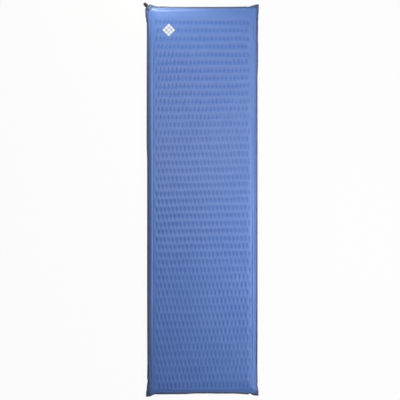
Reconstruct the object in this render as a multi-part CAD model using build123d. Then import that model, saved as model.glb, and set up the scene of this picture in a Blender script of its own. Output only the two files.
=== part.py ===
"""A self-inflating camping mat, laid flat and filled, in millimetres.

+Z is up, +X runs across the mat and +Y along it towards the head end. The origin is the middle of
the underside, on the ground. The twist valve stands out of the head-end corner at -X, square to
the cut across that corner, and is drawn closed.
"""

from build123d import *
from math import sqrt
import os

# The whole mat, over the outer edge of its weld.
MAT_LENGTH = 1830.0
MAT_WIDTH = 525.0
MAT_THICKNESS = 38.0

# The covers: two sheets welded face to face at half height, each rolled over the core's edge.
COVER_THICKNESS = 0.6
WELD_WIDTH = 6.5
ROLL_UPRIGHT = 2.0  # upright stretch of cover between the weld and its roll
CHAMBER_CORNER_EASE = 8.0  # what the chamber's corner radius in plan has over the roll's
EAR_RUN = 50.0  # stretch over which the weld flares out towards a corner
EAR_REACH_SIDE = 5.5  # how far a corner stands out past the long side
EAR_REACH_END = 9.0  # how far a corner stands out past the end
EAR_TIP_RADIUS = 5.0

# The foam core, a slab glued to both covers and cored through with upright diamond cells. The
# cells are fewer and larger than the real slab's, with about the same share of foam left.
GLUE_LINE = 0.3
CORE_EDGE_GAP = 16.5  # air between the core's square edge and the upright part of the covers
CORE_CORNER_RADIUS = 12.0
CELL_WIDTH = 27.0
CELL_LENGTH = 120.0
CELL_COLUMN_PITCH = 56.5
CELL_ROW_PITCH = 107.0
CELL_MARGIN = 14.0  # least foam left between a cell and the core's edge

# Where the valve stands: the corner's tip is cut off square to the valve.
VALVE_CORNER_CUT = 11.5

# The weld base of the valve, a pointed oval with the covers welded round it.
BASE_HALF_LENGTH = 10.5
BASE_HALF_HEIGHT = 8.0
BASE_DEPTH = 12.5
BASE_SETBACK = 0.5  # how far its outer face lies inside the cut
BASE_RIB_COUNT = 4
BASE_GROOVE_WIDTH = 1.2
BASE_GROOVE_DEPTH = 0.5
WELD_GAP = 0.1
TAIL_RADIUS = 7.0
TAIL_LENGTH = 6.0
SLEEVE_REACH = 26.0  # how far the covers' sleeve runs in to meet the chamber

# The stem: a hollow threaded post pushed through the weld base, with a plug held at its end.
STEM_BORE_RADIUS = 3.4
SPIGOT_RADIUS = 5.3
SPIGOT_FIT = 0.1
SPIGOT_TIP_LENGTH = 1.2
COLLAR_RADIUS = 7.2
COLLAR_THICKNESS = 1.5
THREAD_CORE_RADIUS = 5.2
THREAD_HEIGHT = 0.9
THREAD_LEAD = 4.0
THREAD_STARTS = 2
THREAD_ROOT_WIDTH = 1.1
THREAD_CREST_WIDTH = 0.6
THREAD_RELIEF = 0.6  # plain stretch between the collar and the thread
THREAD_FLANK_GAP = 0.25
THREAD_CREST_GAP = 0.25
LUG_LENGTH = 2.5
LAND_RADIUS = 4.6
RIB_COUNT = 3
RIB_THICKNESS = 1.0
RIB_LENGTH = 4.0
POST_RADIUS = 1.8
PLUG_GAP = 0.35  # between the plug's rims and the bore they close
PLUG_RIM_WIDTH = 0.7

# The seals, drawn at the size they are squeezed to.
SEAL_GAP = 0.05
STEM_SEAL_SECTION = 1.0
CAP_SEAL_SECTION = 1.4
PLUG_SEAL_SECTION = 1.2
SEAL_SIDE_GAP = 0.1

# The ring that holds the stem in its base.
RING_THICKNESS = 1.2
RING_RADIUS = 6.6
RING_GAP = 0.1
RING_GROOVE_DEPTH = 0.6

# The twist cap, one lifting turn of three quarters.
CAP_RADIUS = 7.9
CAP_TRAVEL = 3.0
CAP_STAND_OFF = 0.5
CAP_SKIRT_LIP = 0.4  # plain lip inside the skirt before the lugs
CAP_LAND_GAP = 0.25
CAP_END_GAP = 0.5
CAP_WEB = 0.5  # wall each side of the cap's seal groove
CAP_RIM_WIDTH = 1.0
CAP_SHOULDER_CHAMFER = 0.6
NOZZLE_RADIUS = 7.0
NOZZLE_BORE_RADIUS = 2.9
NOZZLE_LENGTH = 6.5
NOZZLE_LIP_RADIUS = 0.8
MOUTH_FLARE = 1.4

# The soft grip moulded round the cap's skirt.
GRIP_WALL = 0.7
GRIP_LENGTH = 8.0
GRIP_RIB_COUNT = 18
GRIP_RIB_RADIUS = 0.55

# How far a cutting shape runs past what it cuts.
OVERRUN = 1.0

# Heights and radii that follow.
WELD_HEIGHT = MAT_THICKNESS / 2
ROLL_RADIUS = WELD_HEIGHT - ROLL_UPRIGHT
CHAMBER_CORNER_RADIUS = ROLL_RADIUS + CHAMBER_CORNER_EASE

# Stations along the valve's axis, outwards from the cut across the corner.
BASE_OUTER = -BASE_SETBACK
BASE_INNER = BASE_OUTER - BASE_DEPTH
TAIL_END = BASE_INNER - TAIL_LENGTH
RING_OUTER = TAIL_END - RING_GAP
RING_INNER = RING_OUTER - RING_THICKNESS
SPIGOT_END = RING_INNER - RING_GAP - SPIGOT_TIP_LENGTH
COLLAR_OUTER = BASE_OUTER + COLLAR_THICKNESS
CAP_INNER = COLLAR_OUTER + CAP_STAND_OFF
THREAD_START = COLLAR_OUTER + THREAD_RELIEF
LUG_START = CAP_INNER + CAP_SKIRT_LIP
THREAD_END = LUG_START + LUG_LENGTH + CAP_TRAVEL + THREAD_ROOT_WIDTH
CAP_STEP = THREAD_END + CAP_END_GAP
CAP_GROOVE_START = CAP_STEP + CAP_WEB
CAP_GROOVE_WIDTH = CAP_SEAL_SECTION + 2 * SEAL_SIDE_GAP
CAP_SEAL_AT = CAP_GROOVE_START + CAP_GROOVE_WIDTH / 2
STEM_END = CAP_SEAL_AT + CAP_TRAVEL + CAP_SEAL_SECTION / 2 + CAP_WEB / 2
NOZZLE_START = STEM_END + CAP_END_GAP
PLUG_GROOVE_WIDTH = PLUG_SEAL_SECTION + 2 * SEAL_SIDE_GAP
PLUG_GROOVE_START = NOZZLE_START + PLUG_RIM_WIDTH
PLUG_SEAL_AT = PLUG_GROOVE_START + PLUG_GROOVE_WIDTH / 2
PLUG_END = PLUG_GROOVE_START + PLUG_GROOVE_WIDTH + PLUG_RIM_WIDTH
CAP_OUTER = NOZZLE_START + NOZZLE_LENGTH
GRIP_START = CAP_INNER + CAP_RIM_WIDTH
GRIP_END = GRIP_START + GRIP_LENGTH
STEM_SEAL_AT = BASE_OUTER - BASE_DEPTH / 2

# Radii that fit one valve piece to another.
THREAD_CREST_RADIUS = THREAD_CORE_RADIUS + THREAD_HEIGHT
CAP_THREAD_BORE_RADIUS = THREAD_CREST_RADIUS + THREAD_CREST_GAP
LUG_CREST_RADIUS = THREAD_CORE_RADIUS + THREAD_CREST_GAP
CAP_BORE_RADIUS = LAND_RADIUS + CAP_LAND_GAP
CAP_SEAL_INNER = LAND_RADIUS + SEAL_GAP
CAP_GROOVE_RADIUS = CAP_SEAL_INNER + CAP_SEAL_SECTION + SEAL_GAP
BASE_BORE_RADIUS = SPIGOT_RADIUS + SPIGOT_FIT
STEM_SEAL_OUTER = BASE_BORE_RADIUS - SEAL_GAP
STEM_SEAL_GROOVE_RADIUS = STEM_SEAL_OUTER - STEM_SEAL_SECTION - SEAL_GAP
PLUG_SEAL_OUTER = NOZZLE_BORE_RADIUS - SEAL_GAP
PLUG_NECK_RADIUS = PLUG_SEAL_OUTER - PLUG_SEAL_SECTION - SEAL_GAP
PLUG_RIM_RADIUS = NOZZLE_BORE_RADIUS - PLUG_GAP
RING_GROOVE_RADIUS = SPIGOT_RADIUS - RING_GROOVE_DEPTH
GRIP_SEAT_RADIUS = CAP_RADIUS - GRIP_WALL


def valve_frame():
    """The valve's own frame: Z outwards along its axis, X along the cut, Y up."""
    reach = VALVE_CORNER_CUT / sqrt(2)
    tip_x = -(MAT_WIDTH / 2 + EAR_REACH_SIDE)
    tip_y = MAT_LENGTH / 2 + EAR_REACH_END
    cut_middle = (tip_x + reach, tip_y - reach, WELD_HEIGHT)
    return Plane(origin=cut_middle, x_dir=(-1, -1, 0), z_dir=(-1, 1, 0))


def rod(radius, start, end):
    """A round bar along Z between two stations."""
    on_start = (Align.CENTER, Align.CENTER, Align.MIN)
    return Pos(0, 0, start) * Cylinder(radius, end - start, align=on_start)


def ring_cut(outer_radius, inner_radius, start, end):
    """The ring of material that a groove takes off a bar, with room to spare outside."""
    return rod(outer_radius + OVERRUN, start, end) - rod(inner_radius, start, end)


def ear(side, end):
    """The flare of the weld at one corner: side and end are +1 or -1."""
    half_width = MAT_WIDTH / 2
    half_length = MAT_LENGTH / 2
    side_start = (side * half_width, end * (half_length - EAR_RUN))
    end_start = (side * (half_width - EAR_RUN), end * half_length)
    tip = (side * (half_width + EAR_REACH_SIDE), end * (half_length + EAR_REACH_END))
    inner = (end_start[0], side_start[1])
    edges = [
        TangentArc(side_start, tip, tangent=(0, end)),
        TangentArc(end_start, tip, tangent=(side, 0)),
        Line(end_start, inner),
        Line(inner, side_start),
    ]
    flare = make_face(edges)
    if (side, end) == (-1, 1):
        return flare
    corner = flare.vertices().sort_by_distance(tip)[0]
    return fillet(corner, EAR_TIP_RADIUS)


def sheet_outline():
    """The flat shape of one cover, out to the edge of the weld, with the valve's corner cut."""
    sheet = Rectangle(MAT_WIDTH, MAT_LENGTH)
    for side in (-1, 1):
        for end in (-1, 1):
            sheet += ear(side, end)
    frame = valve_frame()
    cut = frame.origin + frame.z_dir * EAR_RUN / 2
    corner = Pos(cut.X, cut.Y) * Rot(0, 0, 45) * Rectangle(EAR_RUN, EAR_RUN)
    return sheet - corner


def chamber_half(skin):
    """Upper half of the air chamber as a solid, its surface this far inside the cover's outside."""
    width = MAT_WIDTH - 2 * (WELD_WIDTH + skin)
    length = MAT_LENGTH - 2 * (WELD_WIDTH + skin)
    plan = RectangleRounded(width, length, CHAMBER_CORNER_RADIUS - skin)
    slab = Pos(0, 0, WELD_HEIGHT) * extrude(plan, MAT_THICKNESS - skin - WELD_HEIGHT)
    crown = slab.faces().sort_by(Axis.Z)[-1]
    return fillet(crown.edges(), ROLL_RADIUS - skin)


def pointed_oval(growth):
    """Section of the weld base with its arcs grown outwards by growth."""
    arc_radius = (BASE_HALF_LENGTH**2 + BASE_HALF_HEIGHT**2) / (2 * BASE_HALF_HEIGHT)
    offset = arc_radius - BASE_HALF_HEIGHT
    half_length = sqrt((arc_radius + growth) ** 2 - offset**2)
    half_height = BASE_HALF_HEIGHT + growth
    left, right = (-half_length, 0), (half_length, 0)
    upper = ThreePointArc(left, (0, half_height), right)
    lower = ThreePointArc(right, (0, -half_height), left)
    return make_face([upper, lower])


def oval_bar(growth, start, end):
    """The weld base's section run along the valve's axis."""
    return Pos(0, 0, start) * extrude(pointed_oval(growth), end - start)


def make_top_cover():
    """Upper sheet: the weld round the edge, the rolled side, the flat top and the valve's sleeve."""
    weld = Pos(0, 0, WELD_HEIGHT) * extrude(sheet_outline(), COVER_THICKNESS)
    frame = valve_frame()
    sleeve = frame * oval_bar(WELD_GAP + COVER_THICKNESS, -SLEEVE_REACH, 0)
    passage = frame * oval_bar(WELD_GAP, -SLEEVE_REACH, OVERRUN)
    upper_space = Pos(0, 0, WELD_HEIGHT) * Box(
        2 * MAT_WIDTH, 2 * MAT_LENGTH, MAT_THICKNESS, align=(Align.CENTER, Align.CENTER, Align.MIN)
    )
    skin = weld + chamber_half(0) + (sleeve & upper_space)
    return skin - chamber_half(COVER_THICKNESS) - passage


def make_bottom_cover(top_cover):
    """Lower sheet: the upper one turned over, weld against weld."""
    return mirror(top_cover, about=Plane.XY.offset(WELD_HEIGHT))


def cell_rows(span, size, pitch):
    """Places of as many cells as fit a span, spread evenly about its middle."""
    count = int((span - size) // pitch) + 1
    return [(index - (count - 1) / 2) * pitch for index in range(count)]


def make_foam_core():
    """The core slab with its staggered diamond cells."""
    inset = 2 * (WELD_WIDTH + COVER_THICKNESS + CORE_EDGE_GAP)
    width = MAT_WIDTH - inset
    length = MAT_LENGTH - inset
    lift = COVER_THICKNESS + GLUE_LINE
    plan = RectangleRounded(width, length, CORE_CORNER_RADIUS).face()
    columns = cell_rows(width - 2 * CELL_MARGIN, CELL_WIDTH, CELL_COLUMN_PITCH)
    between = [x + CELL_COLUMN_PITCH / 2 for x in columns[:-1]]
    rows = cell_rows(length - 2 * CELL_MARGIN, CELL_LENGTH, CELL_ROW_PITCH)
    cells = []
    for number, y in enumerate(rows):
        for x in between if number % 2 else columns:
            corners = [
                (x - CELL_WIDTH / 2, y),
                (x, y - CELL_LENGTH / 2),
                (x + CELL_WIDTH / 2, y),
                (x, y + CELL_LENGTH / 2),
            ]
            cells.append(Wire.make_polygon([Vector(*corner) for corner in corners]))
    slab = Solid.extrude(Face(plan.outer_wire(), cells), Vector(0, 0, MAT_THICKNESS - 2 * lift))
    return Pos(0, 0, lift) * slab


def make_valve_fitment():
    """Weld base: a grooved pointed oval with a tail tube, bored for the stem."""
    base = oval_bar(-BASE_GROOVE_DEPTH, BASE_INNER, BASE_OUTER)
    rib_width = (BASE_DEPTH - (BASE_RIB_COUNT - 1) * BASE_GROOVE_WIDTH) / BASE_RIB_COUNT
    for index in range(BASE_RIB_COUNT):
        start = BASE_INNER + index * (rib_width + BASE_GROOVE_WIDTH)
        base += oval_bar(0, start, start + rib_width)
    tail = rod(TAIL_RADIUS, TAIL_END, BASE_INNER)
    return base + tail - rod(BASE_BORE_RADIUS, TAIL_END, BASE_OUTER)


def thread_section(plain_radius, ridge_radius, root_width, crest_width, turn):
    """A circle with one ridge, or notch, for each start of the thread; turn is in degrees."""
    half_root = 180 * root_width / THREAD_LEAD
    half_crest = 180 * crest_width / THREAD_LEAD
    step = 360 / THREAD_STARTS

    def point(radius, angle):
        return Vector(radius, 0, 0).rotate(Axis.Z, angle)

    edges = []
    for start in range(THREAD_STARTS):
        middle = turn + start * step
        foot, crest = middle - half_root, middle - half_crest
        far_crest, far_foot = middle + half_crest, middle + half_root
        next_foot = foot + step
        edges += [
            Line(point(plain_radius, foot), point(ridge_radius, crest)),
            ThreePointArc(
                point(ridge_radius, crest), point(ridge_radius, middle), point(ridge_radius, far_crest)
            ),
            Line(point(ridge_radius, far_crest), point(plain_radius, far_foot)),
            ThreePointArc(
                point(plain_radius, far_foot),
                point(plain_radius, (far_foot + next_foot) / 2),
                point(plain_radius, next_foot),
            ),
        ]
    return Wire([edge.edge() for edge in edges])


def twisted(section, start, length):
    """A section run up the valve's axis while it turns with the thread."""
    turn = 360 * length / THREAD_LEAD
    bar = Solid.extrude_linear_with_rotation(section, (0, 0, 0), (0, 0, length), turn)
    return Pos(0, 0, start) * bar


def make_valve_stem():
    """Hollow post: spigot, collar, quick thread, sealing land, and a plug on ribs in its mouth."""
    ridge = thread_section(
        THREAD_CORE_RADIUS, THREAD_CREST_RADIUS, THREAD_ROOT_WIDTH, THREAD_CREST_WIDTH, 0
    )
    stem = rod(SPIGOT_RADIUS, SPIGOT_END, BASE_OUTER)
    stem += rod(COLLAR_RADIUS, BASE_OUTER, COLLAR_OUTER)
    stem += rod(THREAD_CORE_RADIUS, COLLAR_OUTER, THREAD_START)
    stem += rod(LAND_RADIUS, THREAD_START, STEM_END)
    stem += twisted(ridge, THREAD_START, THREAD_END - THREAD_START)
    seal_half = STEM_SEAL_SECTION / 2 + SEAL_SIDE_GAP
    seal_start, seal_end = STEM_SEAL_AT - seal_half, STEM_SEAL_AT + seal_half
    stem -= ring_cut(SPIGOT_RADIUS, STEM_SEAL_GROOVE_RADIUS, seal_start, seal_end)
    stem -= ring_cut(SPIGOT_RADIUS, RING_GROOVE_RADIUS, RING_INNER - RING_GAP, RING_OUTER + RING_GAP)
    stem -= rod(STEM_BORE_RADIUS, SPIGOT_END, STEM_END)
    return stem + make_plug()


def make_plug():
    """The plug, its post and the ribs that hold it in the middle of the stem's bore."""
    rib_start = STEM_END - RIB_LENGTH - CAP_END_GAP
    rib_end = STEM_END - CAP_END_GAP
    wall_middle = (STEM_BORE_RADIUS + LAND_RADIUS) / 2
    plug = rod(POST_RADIUS, rib_start, NOZZLE_START)
    plug += rod(PLUG_NECK_RADIUS, NOZZLE_START, PLUG_END)
    plug += rod(PLUG_RIM_RADIUS, NOZZLE_START, PLUG_GROOVE_START)
    plug += rod(PLUG_RIM_RADIUS, PLUG_END - PLUG_RIM_WIDTH, PLUG_END)
    rib = Pos(wall_middle / 2, 0, rib_start) * Box(
        wall_middle, RIB_THICKNESS, rib_end - rib_start, align=(Align.CENTER, Align.CENTER, Align.MIN)
    )
    for index in range(RIB_COUNT):
        plug += Rot(0, 0, index * 360 / RIB_COUNT) * rib
    return plug


def o_ring(inner_radius, section, at):
    """A round seal about the valve's axis."""
    return Pos(0, 0, at) * Torus(inner_radius + section / 2, section / 2)


def make_retaining_ring():
    """Push-on ring behind the weld base's tail."""
    inner = RING_GROOVE_RADIUS + RING_GAP / 2
    return rod(RING_RADIUS, RING_INNER, RING_OUTER) - rod(inner, RING_INNER, RING_OUTER)


def make_valve_cap():
    """Twist cap: skirt with thread lugs, seal groove, and the nozzle that the plug closes."""
    cap = rod(CAP_RADIUS, CAP_INNER, NOZZLE_START - CAP_END_GAP)
    cap = chamfer(cap.edges().group_by(Axis.Z)[-1], CAP_SHOULDER_CHAMFER)
    nozzle = rod(NOZZLE_RADIUS, CAP_STEP, CAP_OUTER)
    cap += fillet(nozzle.edges().group_by(Axis.Z)[-1], NOZZLE_LIP_RADIUS)
    cap -= ring_cut(CAP_RADIUS, GRIP_SEAT_RADIUS, GRIP_START, GRIP_END)
    gap = 2 * THREAD_FLANK_GAP
    opposite = 180 / THREAD_STARTS + 360 * (LUG_START - THREAD_START) / THREAD_LEAD
    pitch = THREAD_LEAD / THREAD_STARTS
    lug_root = pitch - THREAD_CREST_WIDTH - gap
    lug_crest = pitch - THREAD_ROOT_WIDTH - gap
    notch = thread_section(CAP_THREAD_BORE_RADIUS, LUG_CREST_RADIUS, lug_root, lug_crest, opposite)
    cap -= rod(CAP_THREAD_BORE_RADIUS, CAP_INNER, LUG_START)
    cap -= twisted(notch, LUG_START, LUG_LENGTH)
    cap -= rod(CAP_THREAD_BORE_RADIUS, LUG_START + LUG_LENGTH, CAP_STEP)
    cap -= rod(CAP_BORE_RADIUS, CAP_STEP, NOZZLE_START)
    cap -= rod(CAP_GROOVE_RADIUS, CAP_GROOVE_START, CAP_GROOVE_START + CAP_GROOVE_WIDTH)
    cap -= rod(NOZZLE_BORE_RADIUS, NOZZLE_START, CAP_OUTER)
    mouth = Cone(
        NOZZLE_BORE_RADIUS,
        NOZZLE_BORE_RADIUS + MOUTH_FLARE,
        MOUTH_FLARE,
        align=(Align.CENTER, Align.CENTER, Align.MAX),
    )
    return cap - Pos(0, 0, CAP_OUTER) * mouth


def make_cap_grip():
    """Soft ribbed band round the cap's skirt."""
    band = rod(CAP_RADIUS, GRIP_START, GRIP_END)
    rib = Pos(CAP_RADIUS, 0, 0) * rod(GRIP_RIB_RADIUS, GRIP_START, GRIP_END)
    for index in range(GRIP_RIB_COUNT):
        band += Rot(0, 0, index * 360 / GRIP_RIB_COUNT) * rib
    return band - rod(GRIP_SEAT_RADIUS, GRIP_START, GRIP_END)


def make_pieces():
    """Every piece of the mat by name, in place."""
    top_cover = make_top_cover()
    pieces = {
        "top_cover": top_cover,
        "bottom_cover": make_bottom_cover(top_cover),
        "foam_core": make_foam_core(),
    }
    valve_pieces = {
        "valve_fitment": make_valve_fitment(),
        "valve_stem": make_valve_stem(),
        "stem_o_ring": o_ring(STEM_SEAL_OUTER - STEM_SEAL_SECTION, STEM_SEAL_SECTION, STEM_SEAL_AT),
        "retaining_ring": make_retaining_ring(),
        "plug_o_ring": o_ring(PLUG_SEAL_OUTER - PLUG_SEAL_SECTION, PLUG_SEAL_SECTION, PLUG_SEAL_AT),
        "cap_o_ring": o_ring(CAP_SEAL_INNER, CAP_SEAL_SECTION, CAP_SEAL_AT),
        "valve_cap": make_valve_cap(),
        "cap_grip": make_cap_grip(),
    }
    frame = valve_frame()
    for name, piece in valve_pieces.items():
        pieces[name] = frame * piece
    return pieces


def main():
    os.makedirs("parts", exist_ok=True)
    for name, piece in make_pieces().items():
        export_step(piece, f"parts/{name}.step")
        print(name, round(piece.volume))
    frame = valve_frame()
    print("valve axis through", frame.origin, "along", frame.z_dir)
    print("cap from", CAP_INNER, "to", CAP_OUTER)


main()
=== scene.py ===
# %% [markdown]
# # A self-inflating camping mat
#
# The mat is two sheets of coated fabric, welded together round the edge, over a slab of foam that is
# glued to both. Its sides roll over half-round, its corners stand out as flat pointed ears, and the
# foam's cored cells show through the top as rows of slim dents. A twist valve stands out of one
# corner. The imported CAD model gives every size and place, so the first step is to load it.

# %% Load the frame
import math

import bpy
import numpy as np
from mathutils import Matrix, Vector
from mathutils.geometry import delaunay_2d_cdt


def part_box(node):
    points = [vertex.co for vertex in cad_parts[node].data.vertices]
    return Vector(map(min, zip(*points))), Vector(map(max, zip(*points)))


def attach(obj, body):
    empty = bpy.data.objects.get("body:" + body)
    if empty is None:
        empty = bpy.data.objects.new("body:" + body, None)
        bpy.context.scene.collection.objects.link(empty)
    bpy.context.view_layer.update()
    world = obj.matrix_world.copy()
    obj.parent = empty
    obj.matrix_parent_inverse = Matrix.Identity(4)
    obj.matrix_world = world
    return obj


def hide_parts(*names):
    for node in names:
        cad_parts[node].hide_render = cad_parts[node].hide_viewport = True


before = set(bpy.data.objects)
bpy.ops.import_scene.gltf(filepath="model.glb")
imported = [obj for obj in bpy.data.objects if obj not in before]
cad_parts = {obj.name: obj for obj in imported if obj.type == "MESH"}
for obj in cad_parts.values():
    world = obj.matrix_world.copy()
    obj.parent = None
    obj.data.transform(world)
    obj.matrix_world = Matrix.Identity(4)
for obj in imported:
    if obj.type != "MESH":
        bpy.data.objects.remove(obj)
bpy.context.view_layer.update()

# %% [markdown]
# ## Sizes
#
# Metres throughout. The core's box gives where the flat part of a cover ends: a little inside the
# core's edge, because foam gives way there. From there a cover rolls down to the weld at half
# height, and the weld is a thin strip outside that.

# %% Sizes of the covers, from the frame
cover_low, cover_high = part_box("top_cover")
core_low, core_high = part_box("foam_core")
WELD_Z = cover_low.z
TOP_Z = cover_high.z
ROLL_HEIGHT = TOP_Z - WELD_Z
CORE_HALF = (core_high.x, core_high.y)
FABRIC = 0.0006
WELD_WIDTH = 0.0065
CORE_TO_WELD = 0.0171
HALF_SIZE = tuple(half + CORE_TO_WELD + WELD_WIDTH for half in CORE_HALF)
SHOULDER = 0.004
FLAT_HALF = tuple(half - SHOULDER for half in CORE_HALF)
ROLL_REACH = CORE_TO_WELD + SHOULDER
print("half width and length over the weld", HALF_SIZE)

# %% [markdown]
# ## Lines across a sheet
#
# A sheet is drawn as a grid of lines. Each family of lines runs from the weld's edge over the roll,
# across the flat part, and down again on the far side. Every line knows where it lies in plan, how
# far out over the roll it is (0 at the core's edge, 1 at the weld) and where it would lie if the
# sheet were spread flat before it was filled. The last is longer, because a roll uses more cloth than
# the ground it covers, and that spare length is what puckers the edges.

# %% Families of lines
ROLL_STEPS = 9


def line_family(core_half, inner, weld_steps):
    """Plan, reach over the roll and flat place of every line; inner are the lines over the core."""
    angles = np.linspace(0, math.pi / 2, ROLL_STEPS + 1)
    out = ROLL_REACH * np.sin(angles)
    up = ROLL_HEIGHT * np.cos(angles)
    arc = np.concatenate([[0], np.cumsum(np.hypot(np.diff(out), np.diff(up)))])
    weld = np.linspace(0, WELD_WIDTH, weld_steps + 1)[1:]
    edge_plan = core_half + np.concatenate([out, ROLL_REACH + weld])
    edge_flat = core_half + np.concatenate([arc, arc[-1] + weld])
    edge_reach = np.minimum((edge_plan - core_half) / ROLL_REACH, 1)
    plan = np.concatenate([-edge_plan[::-1], inner, edge_plan])
    flat = np.concatenate([-edge_flat[::-1], inner, edge_flat])
    reach = np.concatenate([edge_reach[::-1], np.zeros(len(inner)), edge_reach])
    return plan, reach, flat


def inner_lines(core_half, pitch):
    """Evenly spaced lines between the two edges of the core, one of them in the middle."""
    count = int(core_half / pitch - 0.3)
    return np.arange(-count, count + 1) * pitch


# %% [markdown]
# ## The dents
#
# The core is cored with slim diamond cells in staggered rows, and the cover sinks a little into each
# one. The dents are real geometry, so that they shade from any side. The fine grid has eight lines
# to a column of dents and six to a row. The coarse grid is only for the cloth simulation.

# %% Spacing of the dents and of the two grids
COLUMN_PITCH = 0.01895
ROW_PITCH = 0.0360
FINE_PITCH = (COLUMN_PITCH / 8, ROW_PITCH / 6)
COARSE_PITCH = (COLUMN_PITCH / 2, ROW_PITCH / 3)
FINE_WELD_STEPS = 4
COARSE_WELD_STEPS = 2


def grid_lines(pitches, weld_steps):
    """The two families of lines of one grid, those across the mat first."""
    return [
        line_family(half, inner_lines(half, pitch), weld_steps)
        for half, pitch in zip(FLAT_HALF, pitches)
    ]


fine_x, fine_y = grid_lines(FINE_PITCH, FINE_WELD_STEPS)
coarse_x, coarse_y = grid_lines(COARSE_PITCH, COARSE_WELD_STEPS)
print("fine grid", len(fine_x[0]), "by", len(fine_y[0]))
print("coarse grid", len(coarse_x[0]), "by", len(coarse_y[0]))

# %% [markdown]
# ## The outline
#
# No two corners of such a mat are alike. Each ear stands out by its own amount, the long sides wander
# by a few millimetres, and both ends are drawn in a little at the middle, where the foam pulls on
# the cloth from two sides. Smooth steps say all of this. An ear starts to stand out EAR_RUN before
# the corner and reaches its full amount EAR_BLUNT before it, so that its tip is blunt. The side next
# to the valve is held out further along by the fitting.

# %% How far the outline strays from a rectangle
EAR_RUN = 0.045
EAR_BLUNT = 0.009
VALVE_EAR_RUN = 0.080
VALVE_EAR_BLUNT = 0.054
EAR_REACH = {
    (-1, 1): (0.0062, 0.0095),
    (1, 1): (0.0020, 0.0092),
    (-1, -1): (0.0045, 0.0110),
    (1, -1): (0.0035, 0.0062),
}


def step(value, low, high):
    """0 below low, 1 above high, and a smooth rise between; low may be the larger one."""
    t = np.clip((value - low) / (high - low), 0, 1)
    return t * t * (3 - 2 * t)


def side_out(y, side):
    """How far a long side stands outside its straight line, ears included."""
    if side < 0:
        wander = -0.0013 + 0.0026 * step(y, 0.19, 0.26)
    else:
        wander = 0.0032 * step(y, 0.57, 0.66)
    for end in (1, -1):
        run, blunt = EAR_RUN, EAR_BLUNT
        if (side, end) == (-1, 1):
            run, blunt = VALVE_EAR_RUN, VALVE_EAR_BLUNT
        near = step(end * y, HALF_SIZE[1] - run, HALF_SIZE[1] - blunt)
        wander = wander + EAR_REACH[side, end][0] * near
    return wander


def end_out(x, end):
    """How far the head (end 1) or the foot (end -1) stands outside its straight line."""
    if end > 0:
        wander = 0.0022 * (x / HALF_SIZE[0]) ** 2 + 0.0018 * step(x, -0.09, -0.20)
    else:
        wander = 0.0036 * step(x, -0.03, -0.09)
        wander = wander + 0.0010 * step(x, 0.03, 0.07) + 0.0022 * step(x, 0.16, 0.21)
    for side in (1, -1):
        near = step(side * x, HALF_SIZE[0] - EAR_RUN, HALF_SIZE[0] - EAR_BLUNT)
        wander = wander + EAR_REACH[side, end][1] * near
    return wander


# %% [markdown]
# ## A sheet's shape before the cloth settles
#
# Along a side the roll is a quarter of an ellipse. At a corner the chamber is rounded, and the cloth
# outside it lies flat as an ear, so the roll flattens gently instead of dropping upright. The weld
# droops outwards a little. The two sheets are mirror images about the weld but for that droop.

# %% Shape of one sheet
WELD_DROOP = 0.0022


def sheet_rise(across, along):
    """How high a sheet stands, from 0 at the weld to 1 over the core."""
    reach_x, reach_y = np.meshgrid(across[1], along[1])
    reach = np.hypot(reach_x, reach_y)
    corner = 2 * reach_x * reach_y / np.maximum(reach**2, 1e-9)
    return np.maximum(1 - reach**2, 0) ** (0.5 + 0.35 * corner)


def sheet_points(across, along, side):
    """Grid of points of one sheet, side +1 for the top and -1 for the bottom."""
    x, y = np.meshgrid(across[0], along[0])
    share_x = np.clip((np.abs(x) - FLAT_HALF[0]) / (HALF_SIZE[0] - FLAT_HALF[0]), 0, 1)
    share_y = np.clip((np.abs(y) - FLAT_HALF[1]) / (HALF_SIZE[1] - FLAT_HALF[1]), 0, 1)
    moved_x = x + np.sign(x) * share_x * np.where(x > 0, side_out(y, 1), side_out(y, -1))
    moved_y = y + np.sign(y) * share_y * np.where(y > 0, end_out(x, 1), end_out(x, -1))
    weld_share = np.maximum(np.abs(x) - HALF_SIZE[0], np.abs(y) - HALF_SIZE[1]) / WELD_WIDTH + 1
    height = side * ROLL_HEIGHT * sheet_rise(across, along)
    z = WELD_Z + height - WELD_DROOP * np.clip(weld_share, 0, 1)
    return np.stack([moved_x, moved_y, z], axis=-1)


def flat_points(across, along):
    """The same grid spread flat, as it was cut."""
    x, y = np.meshgrid(across[2], along[2])
    return np.stack([x, y, np.full_like(x, WELD_Z)], axis=-1)


# %% [markdown]
# ## Filling the bag
#
# Cloth simulation gives the edge its puckers, and its ears their curl. Only the band outside the core
# is cloth. It starts spread flat, as it was cut, so that its springs remember that size, and then a
# keyframed shape key parts the two lines that are glued to the core until they are as far apart as
# the core is thick. Air pressure rounds the sides, and the spare cloth at the corners buckles. The
# vertices are light, or the cloth would hardly have moved after a second. The mesh is left open at
# the core, because bending springs over a face of hundreds of corners are very slow.
#
# The outline is known from the CAD model, so the cloth's sideways movement is toned down and only
# its rise and fall are kept nearly whole.


# %% Cells of the edge band
def band_cells(rows, columns, depth, start=0):
    """Quads of a grid that lie within depth lines of its edge, but outside start lines of it."""
    cells = []
    for j in range(start, rows - 1 - start):
        for i in range(start, columns - 1 - start):
            inside_x = depth <= i < columns - 1 - depth
            inside_y = depth <= j < rows - 1 - depth
            if not (inside_x and inside_y):
                cells.append(((j, i), (j, i + 1), (j + 1, i + 1), (j + 1, i)))
    return cells


def edge_depth(place, rows, columns):
    """How many lines a grid place lies inside the edge."""
    return min(place[0], place[1], rows - 1 - place[0], columns - 1 - place[1])


# %% The band as a bag
COARSE_SHAPE = (len(coarse_y[0]), len(coarse_x[0]))
COARSE_EDGE = ROLL_STEPS + COARSE_WELD_STEPS


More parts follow.
